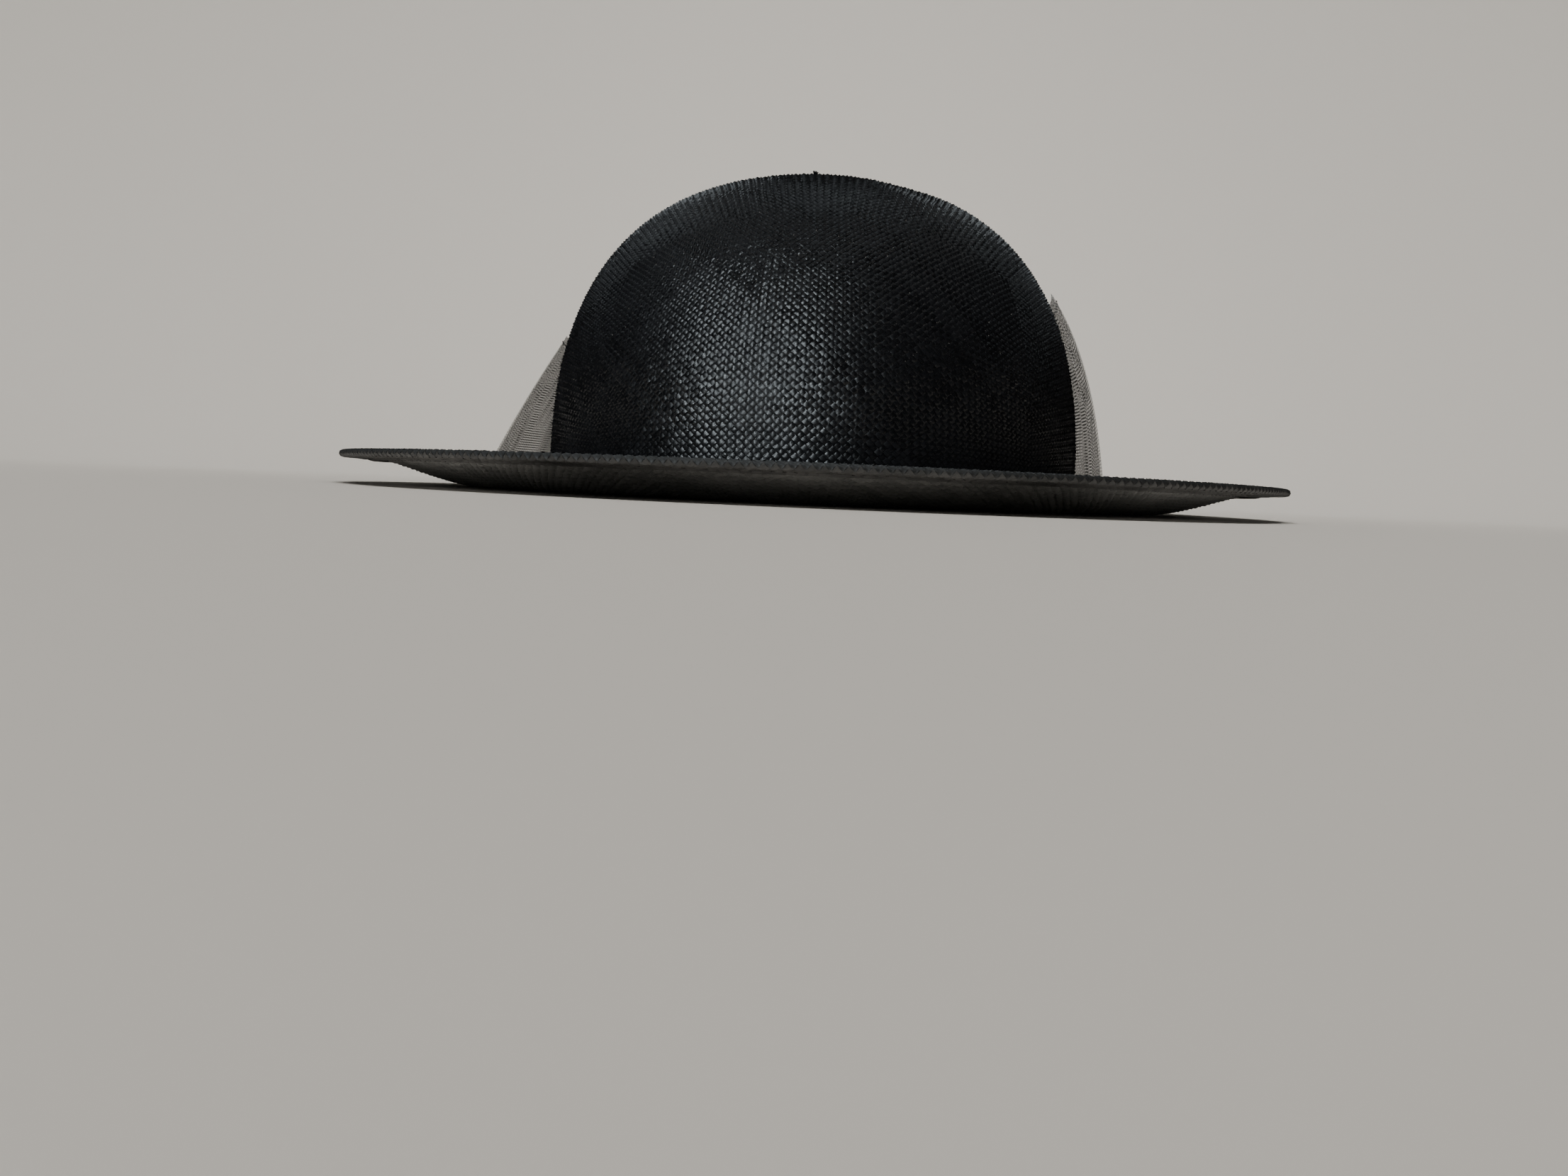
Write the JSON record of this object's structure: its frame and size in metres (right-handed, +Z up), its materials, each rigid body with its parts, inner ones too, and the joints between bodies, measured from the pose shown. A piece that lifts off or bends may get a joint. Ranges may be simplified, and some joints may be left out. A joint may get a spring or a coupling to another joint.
{
  "type": "sun hat",
  "caption": "Black woven straw sun hat with a round hollow crown, a dipped and upswept brim with a stitched hem, and a sheer net round the back; worn on the head against the sun.",
  "frame": {"origin": "on the surface the hat rests on, under the centre of the brim's outline", "axes": "+Z up through the crown, -Y to the front of the hat, +X to the left hand of whoever wears it"},
  "size_m": [0.29, 0.318, 0.0992],
  "materials": {
    "crown_straw": "glossy black woven straw",
    "brim_straw": "satin black woven straw",
    "hem_straw": "satin black woven straw, stitched",
    "sheer_net": "sheer black net"
  },
  "bodies": {
    "root": {"crown": "crown_straw", "brim": "brim_straw", "brim_hem": "hem_straw", "net_drape": "sheer_net"}
  },
  "joints": []
}
